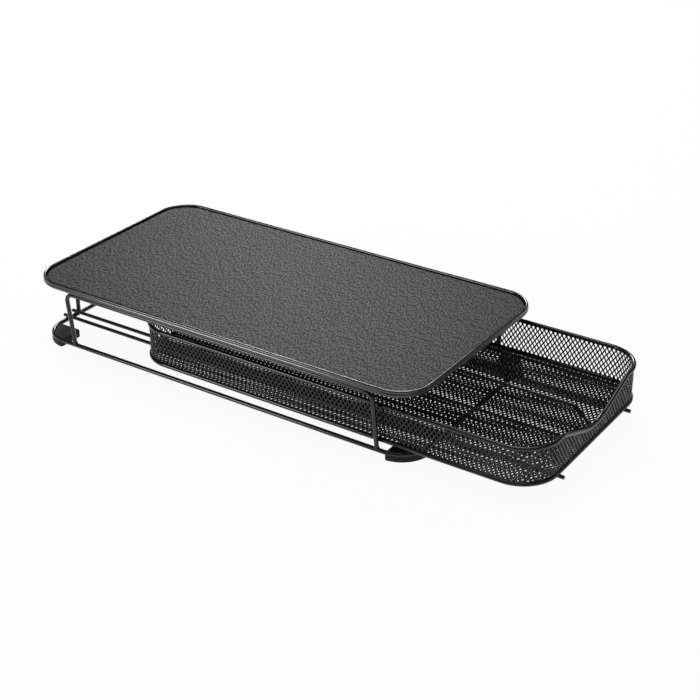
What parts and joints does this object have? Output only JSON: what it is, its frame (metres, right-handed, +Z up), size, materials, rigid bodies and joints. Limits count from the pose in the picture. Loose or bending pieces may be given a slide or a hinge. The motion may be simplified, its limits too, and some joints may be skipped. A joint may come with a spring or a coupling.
{
  "type": "coffee pod drawer",
  "caption": "Low wire stand with a flat matted top and a mesh basket drawer that slides out of it, with lengthwise dividers and a dipped front rim.",
  "frame": {"origin": "on the standing plane, under the middle of the whole object with the drawer open by 100 mm", "axes": "+X the way the drawer opens, +Y towards the far long side, +Z up"},
  "size_m": [0.471, 0.1952, 0.061],
  "materials": {
    "top_steel": "glossy black enamel",
    "top_mat": "dark grey embossed mat",
    "wire_steel": "glossy black enamel on round wire",
    "mesh_steel": "glossy black enamel on diamond mesh",
    "foot_rubber": "black rubber"
  },
  "bodies": {
    "frame": {"top_plate": "top_steel", "top_mat": "top_mat", "base_loop": "wire_steel", "side_frame_near": "wire_steel", "side_frame_far": "wire_steel", "rear_stop": "wire_steel", "rail_near_outer": "wire_steel", "rail_near_inner": "wire_steel", "rail_far_inner": "wire_steel", "rail_far_outer": "wire_steel", "foot_near_front": "foot_rubber", "foot_near_rear": "foot_rubber", "foot_far_front": "foot_rubber", "foot_far_rear": "foot_rubber"},
    "drawer": {"drawer_top_rim": "wire_steel", "drawer_bottom_rim": "wire_steel", "runner_near": "wire_steel", "runner_far": "wire_steel", "drawer_floor": "mesh_steel", "drawer_near_wall": "mesh_steel", "drawer_far_wall": "mesh_steel", "drawer_front_wall": "mesh_steel", "drawer_back_wall": "mesh_steel", "divider_near": "mesh_steel", "divider_middle": "mesh_steel", "divider_far": "mesh_steel"}
  },
  "joints": [
    {"name": "drawer_slide", "type": "slide", "parent": "frame", "child": "drawer", "axis": [1, 0, 0], "range_m": [-0.097, 0.1]}
  ]
}
